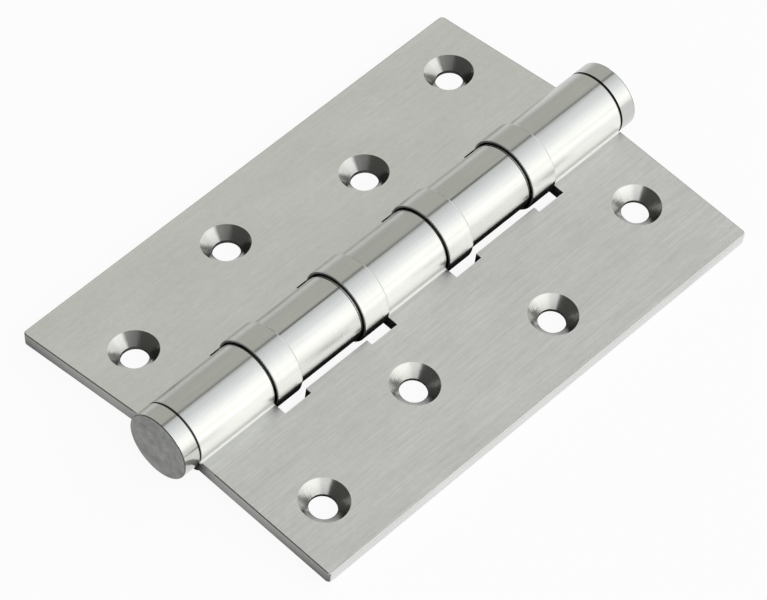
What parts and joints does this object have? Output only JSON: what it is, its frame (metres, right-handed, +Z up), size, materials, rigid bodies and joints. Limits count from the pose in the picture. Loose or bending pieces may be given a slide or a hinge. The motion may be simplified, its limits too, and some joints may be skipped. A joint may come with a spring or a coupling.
{
  "type": "ball bearing hinge",
  "caption": "Steel butt hinge with rolled knuckles, ball bearings between them, a capped pin and countersunk screw holes.",
  "frame": {"origin": "on the table, under the middle of the pin", "axes": "+Y along the pin towards its head, +X towards the three-knuckle leaf, +Z up"},
  "size_m": [0.0694, 0.1072, 0.0137],
  "materials": {
    "frame_leaf_steel": "satin, brushed",
    "door_leaf_steel": "satin, finely brushed",
    "pin_steel": "satin",
    "cover_steel": "satin, turned",
    "race_steel": "ground and hardened",
    "ball_steel": "polished",
    "cage_brass": "stamped"
  },
  "bodies": {
    "frame_leaf": {"frame_leaf": "frame_leaf_steel", "hinge_pin": "pin_steel", "bottom_cap": "pin_steel", "lower_race_1": "race_steel", "bearing_cover_2": "cover_steel", "upper_race_2": "race_steel", "lower_race_3": "race_steel", "bearing_cover_4": "cover_steel", "upper_race_4": "race_steel"},
    "door_leaf": {"door_leaf": "door_leaf_steel", "bearing_cover_1": "cover_steel", "upper_race_1": "race_steel", "lower_race_2": "race_steel", "bearing_cover_3": "cover_steel", "upper_race_3": "race_steel", "lower_race_4": "race_steel"},
    "ball_cage_1": {"ball_cage_1": "cage_brass", "bearing_balls_1": "ball_steel"},
    "ball_cage_2": {"ball_cage_2": "cage_brass", "bearing_balls_2": "ball_steel"},
    "ball_cage_3": {"ball_cage_3": "cage_brass", "bearing_balls_3": "ball_steel"},
    "ball_cage_4": {"ball_cage_4": "cage_brass", "bearing_balls_4": "ball_steel"}
  },
  "joints": [
    {"name": "leaf_swing", "type": "hinge", "parent": "frame_leaf", "child": "door_leaf", "pos_m": [0, 0, 0.00685], "axis": [0, 1, 0], "range_deg": [-99.55, 190.45]},
    {"name": "ball_cage_1_roll", "type": "hinge", "parent": "frame_leaf", "child": "ball_cage_1", "pos_m": [0, 0, 0.00685], "axis": [0, 1, 0], "range_deg": [-49.88, 95.32]},
    {"name": "ball_cage_2_roll", "type": "hinge", "parent": "frame_leaf", "child": "ball_cage_2", "pos_m": [0, 0, 0.00685], "axis": [0, 1, 0], "range_deg": [-49.88, 95.32]},
    {"name": "ball_cage_3_roll", "type": "hinge", "parent": "frame_leaf", "child": "ball_cage_3", "pos_m": [0, 0, 0.00685], "axis": [0, 1, 0], "range_deg": [-49.88, 95.32]},
    {"name": "ball_cage_4_roll", "type": "hinge", "parent": "frame_leaf", "child": "ball_cage_4", "pos_m": [0, 0, 0.00685], "axis": [0, 1, 0], "range_deg": [-49.88, 95.32]}
  ],
  "couplings": [
    {"joint": "ball_cage_1_roll", "follows": "leaf_swing", "ratio": 0.5},
    {"joint": "ball_cage_2_roll", "follows": "leaf_swing", "ratio": 0.5},
    {"joint": "ball_cage_3_roll", "follows": "leaf_swing", "ratio": 0.5},
    {"joint": "ball_cage_4_roll", "follows": "leaf_swing", "ratio": 0.5}
  ]
}
